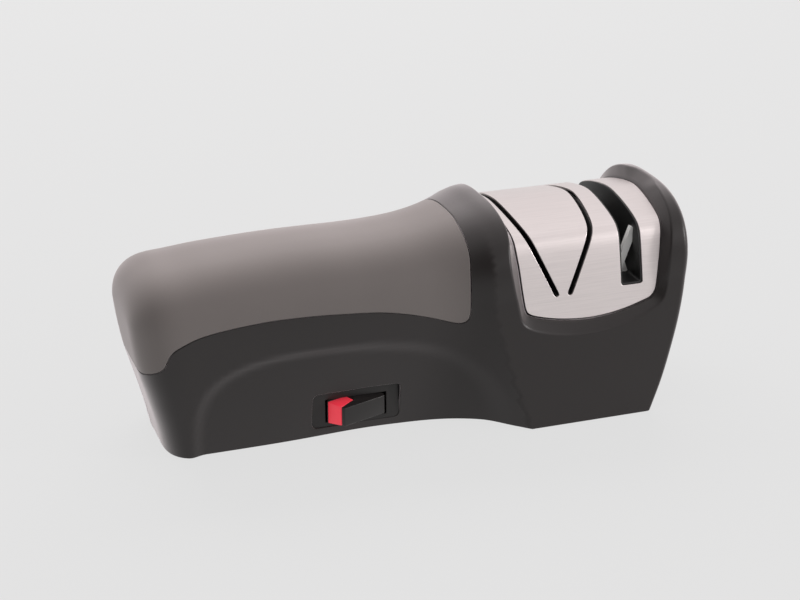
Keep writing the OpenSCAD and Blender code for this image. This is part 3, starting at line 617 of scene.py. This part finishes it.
def rim_outer(g):
    """loop of the crest moved outward by g on the body surface, as plan points, all round"""
    e = edge_front(g, CREST)
    s, v = inv(e[:, 0], e[:, 1])
    low = np.stack([s, v], 1)
    va = low[0, 1]; vl = np.linspace(va, VT, UPN + 1)[1:]
    L = np.stack([s_at(lambda z: curve(z, CREST_L) - g, vl), vl], 1)
    vb = low[-1, 1]; vr = np.linspace(vb, VT, UPN + 1)[1:]
    R = np.stack([s_at(lambda z: curve(z, CREST_R) + g, vr), vr], 1)
    front = np.vstack([L[::-1], low, R])             # apex left ... apex right
    back = mirror_v(front)[::-1][1:-1]
    return np.vstack([front, back])


def rim_cover(g, o=0.0):
    """the same loop at the level of the cover, as points in space"""
    e = edge_front(g)
    l0 = l_of_z(e[0, 1]); l1 = l_of_z(e[-1, 1])
    a = l0 * np.linspace(1, 0, UPN + 1)[1:]
    b = l1 * np.linspace(1, 0, UPN + 1)[1:]
    xs = np.concatenate([(curve(z_of_l(a), EDGE_L) - g)[::-1], e[:, 0], curve(z_of_l(b), EDGE_R) + g])
    ls = np.concatenate([a[::-1], l_of_z(e[:, 1]), b])
    xs = np.concatenate([xs, xs[::-1][1:-1]]); ls = np.concatenate([ls, -ls[::-1][1:-1]])
    return xs, ls


SX, SZ = -23.4, 10.2
JX, JZ = -74.0, 13.0
FILLET = 0.8


def rounded_rect(cx, cz, w, h, r, n=6, step=1.2):
    out = []
    for sx, sz, a0 in ((1, 1, 0), (-1, 1, 90), (-1, -1, 180), (1, -1, 270)):
        for k in range(n + 1):
            a = math.radians(a0 + 90 * k / n)
            out.append((cx + sx * (w / 2 - r) + r * math.cos(a), cz + sz * (h / 2 - r) + r * math.sin(a)))
    return resample(out, step, closed=True) if step else np.array(out)


def to_plan(p, back=False):
    s, v = inv(p[:, 0], p[:, 1])
    q = np.stack([s, v], 1)
    return mirror_v(q) if back else q


def make_housing():
    sh = Shell()
    f = seam_plan(-(GAP / 2 + ROLL))
    b = mirror_v(f)[::-1]
    v0 = f[0, 1]
    left_f = line((0, 0), (0, v0)); left_b = line((0, 2 * VT - v0), (0, 2 * VT))
    bottom_f = line((0, 0), (ST, 0)); bottom_b = line((ST, 2 * VT), (0, 2 * VT))
    right_v = np.concatenate([line((ST, 0), (ST, VT)), line((ST, VT), (ST, 2 * VT))[1:]])
    loop = chain(bottom_f, right_v, bottom_b, left_b[::-1], b[::-1], f[::-1], left_f[::-1])
    rim = rim_outer(FILLET)
    win = to_plan(rounded_rect(-23.9, 11.2, 35.0 + 2 * ROLL, 15.0 + 2 * ROLL, 2.2 + ROLL))
    a = np.linspace(0, 2 * np.pi, 33)[:-1]
    jack = to_plan(np.stack([JX + (4.6 + ROLL) * np.cos(a), JZ + (4.6 + ROLL) * np.sin(a)], 1), back=True)
    add_plan(sh, [loop, rim, win, jack])
    # left end below the seam
    PF = surf(left_f[:, 0], left_f[:, 1]); PB = surf(left_b[:, 0], left_b[:, 1])
    yz = chain(PF[:, 1:], line(PF[-1, 1:], PB[0, 1:]), PB[:, 1:], line(PB[-1, 1:], PF[0, 1:]))
    add_end(sh, -1, yz)
    # right end
    PR = surf(right_v[:, 0], right_v[:, 1])
    yz = chain(PR[:, 1:], line(PR[-1, 1:], PR[0, 1:]))
    add_end(sh, 1, yz)
    return sh


def bezel_rows():
    """rounded ridge and slanted face round the cover, from the body surface down to the cover's edge"""
    p0 = rim_outer(FILLET); p1 = rim_outer(0)
    P0 = surf(p0[:, 0], p0[:, 1]); R = surf(p1[:, 0], p1[:, 1])
    xs, ls = rim_cover(0.5)
    Q, QN = cover_pt(xs, ls)
    d = unit(Q - R)
    P2 = R + d * FILLET
    rows = []
    for t in np.linspace(0, 1, 7):
        rows.append((1 - t) ** 2 * P0 + 2 * t * (1 - t) * R + t * t * P2)
    for t in (0.25, 0.5, 0.75, 1.0):
        rows.append(P2 + (Q - P2) * t)
    # down the side of the gap
    Q2, _ = cover_pt(xs, ls, 2.2)
    rows.append(Q2)
    return np.array(rows), p0


def make_housing_full():
    sh = make_housing()
    rows, p0 = bezel_rows()
    n = rows.shape[1]
    m = len(rows)
    # normals: across the rows and along the loop
    along = np.roll(rows, -1, 1) - np.roll(rows, 1, 1)
    across = np.zeros_like(rows)
    across[1:-1] = rows[2:] - rows[:-2]
    across[0] = rows[1] - rows[0]; across[-1] = rows[-1] - rows[-2]
    N = unit(np.cross(along, across))
    ref = surf_n(p0[:, 0], p0[:, 1])
    if np.mean(np.sum(N[0] * ref, -1)) < 0: N = -N; rev = True
    else: rev = False
    N[0] = ref
    F, NN = [], []
    P = rows.reshape(-1, 3)
    for i in range(m - 1):
        for j in range(n):
            k = (j + 1) % n
            f = [i * n + j, i * n + k, (i + 1) * n + k, (i + 1) * n + j]
            F.append(f[::-1] if rev else f)
    sh.add(P[:(m - 1) * n], N[:m - 1].reshape(-1, 3), [f for f in F if max(f) < (m - 1) * n])
    # the last strip turns sharply down: its own normals
    last = rows[-2:].reshape(-1, 3)
    dn = unit(np.cross(np.roll(rows[-2], -1, 0) - np.roll(rows[-2], 1, 0), rows[-1] - rows[-2]))
    if rev: dn = -dn
    f2 = []
    for j in range(n):
        k = (j + 1) % n
        f = [j, k, n + k, n + j]
        f2.append(f[::-1] if rev else f)
    sh.add(last, np.concatenate([dn, dn]), f2)
    return place(sh.build("housing_shell", t=1.9, r=ROLL), "main", "black_shell", "housing")


# ------------------------------------------------------------------ slots of the cover
VX, VH, MX, SLOT_Z, MAN_Z, SLOT_W, MAN_W = 55.8, 2.8, 84.4, 48.9, 49.9, 2.0, 9.0
LEAN = math.tan(math.radians(25))


def slot_loop(sgn, w):
    """one angled slot in the unrolled cover, round at both lower ends"""
    c = 1 / math.cos(math.radians(25))
    zc = SLOT_Z + SLOT_W / 2
    z = np.linspace(zc, CTOP - 0.02, 60)
    l = l_of_z(z)
    ls = np.linspace(l[0], 0, 60)
    xc = VX + sgn * (VH + LEAN * (z_of_l(ls) - zc))
    a = np.stack([xc - w / 2 * c, ls], 1)
    b = np.stack([xc + w / 2 * c, ls], 1)
    # the straight edges start where the round end meets them
    cs, sn = math.cos(math.radians(25)), math.sin(math.radians(25))
    cx = VX + sgn * VH
    ang = np.linspace(math.pi, 2 * math.pi, 15)
    ex, ez = w / 2 * np.cos(ang), w / 2 * np.sin(ang)
    rx = cx + ex * cs + sgn * ez * sn
    rz = zc - sgn * ex * sn + ez * cs
    cap = np.stack([rx, l_of_z(rz)], 1)              # left side, round the bottom, right side
    a = a[a[:, 1] < cap[0, 1] - 0.3]; b = b[b[:, 1] < cap[-1, 1] - 0.3]
    front = chain(a[::-1], cap, b)
    front = np.vstack([a[::-1], cap, b])
    back = front[::-1].copy(); back[:, 1] *= -1
    return resample(chain(front, back[1:-1]), 0.9, closed=True)


def manual_loop(w, z0, r=1.0):
    x0, x1 = MX - w / 2, MX + w / 2
    ang = np.linspace(math.pi, 1.5 * math.pi, 7)
    c1 = np.stack([x0 + r + r * np.cos(ang), z0 + r + r * np.sin(ang)], 1)
    ang = np.linspace(1.5 * math.pi, 2 * math.pi, 7)
    c2 = np.stack([x1 - r + r * np.cos(ang), z0 + r + r * np.sin(ang)], 1)
    q = np.vstack([c1, c2])
    q[:, 1] = l_of_z(q[:, 1])
    front = np.vstack([[x0, 0]] + [q] + [[x1, 0]])
    back = front[::-1].copy(); back[:, 1] *= -1
    return resample(chain(front, back[1:-1]), 0.9, closed=True)


def make_cover():
    sh = Shell()
    r = 0.22
    xs, ls = rim_cover(-0.05 - r)
    out = resample(np.stack([xs, ls], 1), 1.2, closed=True)
    loops = [out, slot_loop(-1, SLOT_W + 2 * r), slot_loop(1, SLOT_W + 2 * r), manual_loop(MAN_W + 2 * r, MAN_Z - r, 1.0 + r)]
    v, f = fill(loops, 2.0)
    P, N = cover_pt(v[:, 0], v[:, 1])
    sh.add(P, N, f, True)
    return place(sh.build("cover_sheet", t=0.8, r=r), "main", "brushed_steel", "head_cover")


# ------------------------------------------------------------------ rocker switch: turned paddle with a red end in a recessed plate
PX, PY, TILT = -23.6, -19.8, math.radians(19)


def bevelled(name, outline, z_of, body, slot, node_name, edge=0.3, pin=None):
    """plate-like block from an outline in the rocker's plan, with its own height at every corner and rounded edges"""
    bm = bmesh.new()
    c, sn = math.cos(TILT), math.sin(TILT)
    def at(x, y, z): return bm.verts.new(((PX + x * c - y * sn) * MM, (PY + x * sn + y * c) * MM, z * MM))
    lo = [at(x, y, z_of(y)[0]) for x, y in outline]
    hi = [at(x, y, z_of(y)[1]) for x, y in outline]
    n = len(outline)
    bm.faces.new(lo[::-1]); bm.faces.new(hi)
    for i in range(n):
        j = (i + 1) % n
        bm.faces.new((lo[i], lo[j], hi[j], hi[i]))
    bmesh.ops.recalc_face_normals(bm, faces=bm.faces)
    bmesh.ops.bevel(bm, geom=list(bm.edges), offset=edge * MM, segments=3, profile=0.5, affect="EDGES", clamp_overlap=True)
    if pin:
        r, z0, z1 = pin
        k = 32
        ring = lambda z: [bm.verts.new(((PX + r * math.cos(2 * math.pi * q / k)) * MM, (PY + r * math.sin(2 * math.pi * q / k)) * MM, z * MM)) for q in range(k)]
        for za, zb in ((z0, z_of(0)[0] + 0.2), (z_of(0)[1] - 0.2, z1)):
            a, b = ring(za), ring(zb)
            bm.faces.new(a[::-1]); bm.faces.new(b)
            for q in range(k): bm.faces.new((a[q], a[(q + 1) % k], b[(q + 1) % k], b[q]))
    bmesh.ops.triangulate(bm, faces=[f for f in bm.faces if len(f.verts) > 4])
    me = bpy.data.meshes.new(name)
    bm.to_mesh(me); bm.free()
    for p in me.polygons: p.use_smooth = True
    me.set_sharp_from_angle(angle=math.radians(40))
    ob = bpy.data.objects.new(name, me)
    scene.collection.objects.link(ob)
    return place(ob, body, slot, node_name)


def rocker_z(y):
    t = min(1, max(0, (1.1 - y) / 7.8))
    return 5.7 + 0.6 * t, 14.7 - 1.0 * t


def make_switch():
    paddle = [(-9.35, -6.7), (9.4, -6.7), (11.9, 1.1), (6, 4), (-6, 4), (-11.9, 1.1), (-11.8, 0.55), (-3.5, 0.55), (-2.85, -2.25), (-2.5, -3.05), (-9.85, -5.35)]
    bevelled("rocker_paddle", paddle, rocker_z, "rocker", "switch_black", "rocker", 0.22, (1.0, 4.4, 16.0))
    red = [(-9.95, -5.2), (-2.65, -3.1), (-2.95, -2.3), (-3.6, 0.45), (-11.95, 0.45)]
    bevelled("rocker_end", red, lambda y: (rocker_z(y)[0] + 0.03, rocker_z(y)[1] - 0.03), "rocker", "switch_red", "rocker_inlay", 0.22)


make_grip()
make_housing_full()
make_cover()
make_switch()

# CAD nodes that are shown as they are get the finish of their material slot
slots = {}
for m in frame["record"]["materials"]:
    slots[m["slot"]] = m
for name, ob in frame["nodes"].items():
    for i, s in enumerate(ob.material_slots):
        key = s.material.name.split(".")[0] if s.material else ""
        if key in MAT: ob.data.materials[i] = MAT[key]

# ------------------------------------------------------------------ floor, light, camera
bpy.ops.mesh.primitive_plane_add(size=12, location=(0, 0, 0))
floor = bpy.context.object
floor.name = "floor"
fm, nt, bsdf = material("floor_white")
bsdf.inputs["Base Color"].default_value = (0.045, 0.045, 0.045, 1)
bsdf.inputs["Roughness"].default_value = 1.0
bsdf.inputs["Specular IOR Level"].default_value = 0.0
bsdf.inputs["Emission Color"].default_value = (1, 1, 1, 1)
bsdf.inputs["Emission Strength"].default_value = 0.70
floor.data.materials.append(fm)


# studio: a bright room behind and overhead, dark to the left of the camera, a wide pale wall to the right of it
def studio():
    world = bpy.data.worlds.new("studio")
    scene.world = world
    world.use_nodes = True
    nt = world.node_tree
    bg = nt.nodes["Background"]
    tc = node(nt, "ShaderNodeTexCoord")
    sep = node(nt, "ShaderNodeSeparateXYZ")
    nt.links.new(tc.outputs["Generated"], sep.inputs["Vector"])
    g = lambda v: (v, v * 0.965, v * 0.97)
    right = ramp(nt, sep.outputs["Z"], [(0.0, g(0.22)), (0.09, g(0.22)), (0.16, g(0.62)), (0.24, g(1.05)), (0.40, g(0.92)), (0.60, g(0.70)), (0.80, g(0.85)), (0.95, g(1.0))])
    left = ramp(nt, sep.outputs["Z"], [(0.0, g(0.22)), (0.08, g(0.12)), (0.42, g(0.05)), (0.62, g(0.12)), (0.85, g(0.62)), (0.96, g(1.0))])
    back = ramp(nt, sep.outputs["Z"], [(0.0, g(0.82)), (0.35, g(0.86)), (0.7, g(0.92)), (0.95, g(1.0))])
    def mixed(coord, lo, hi, a, b):
        side = node(nt, "ShaderNodeMapRange", interpolation_type="SMOOTHSTEP")
        side.inputs["From Min"].default_value = lo
        side.inputs["From Max"].default_value = hi
        nt.links.new(sep.outputs[coord], side.inputs["Value"])
        mx = node(nt, "ShaderNodeMix", data_type="RGBA")
        nt.links.new(side.outputs["Result"], mx.inputs["Factor"])
        nt.links.new(a, [q for q in mx.inputs if q.name == "A" and q.type == "RGBA"][0])
        nt.links.new(b, [q for q in mx.inputs if q.name == "B" and q.type == "RGBA"][0])
        return [q for q in mx.outputs if q.type == "RGBA"][0]
    nt.links.new(mixed("Y", -0.35, 0.35, mixed("X", -0.45, 0.15, left, right), back), bg.inputs["Color"])
    bg.inputs["Strength"].default_value = 1.05


studio()


def area(name, loc, target, size, power, size_y=None, col=(1, 1, 1), glossy=True):
    l = bpy.data.lights.new(name, "AREA")
    l.energy = power
    l.size = size
    l.color = col
    if size_y:
        l.shape = "RECTANGLE"; l.size_y = size_y
    o = bpy.data.objects.new(name, l)
    scene.collection.objects.link(o)
    o.location = loc
    o.rotation_mode = "QUATERNION"
    o.rotation_quaternion = (Vector(loc) - Vector(target)).to_track_quat("Z", "Y")
    o.visible_glossy = glossy
    return o


area("back_soft", (0.1, 1.15, 1.05), (0, 0, 0), 1.8, 34.0, 0.9, (1.0, 0.965, 0.97), False)
area("side_soft", (1.22, -0.735, 0.46), (0.06, 0, 0.05), 0.3, 7.0, 0.3, (1.0, 0.97, 0.97))

cam_data = bpy.data.cameras.new("camera")
cam_data.lens = 83.25
cam_data.sensor_width = 36
cam = bpy.data.objects.new("camera", cam_data)
scene.collection.objects.link(cam)
cam.location = (-0.21694, -0.62453, 0.31193)
cam.rotation_euler = (math.radians(67.8), 0, math.radians(-19.3))
cam_data.clip_start, cam_data.clip_end = 0.01, 50
scene.camera = cam
scene.view_settings.view_transform = "Standard"
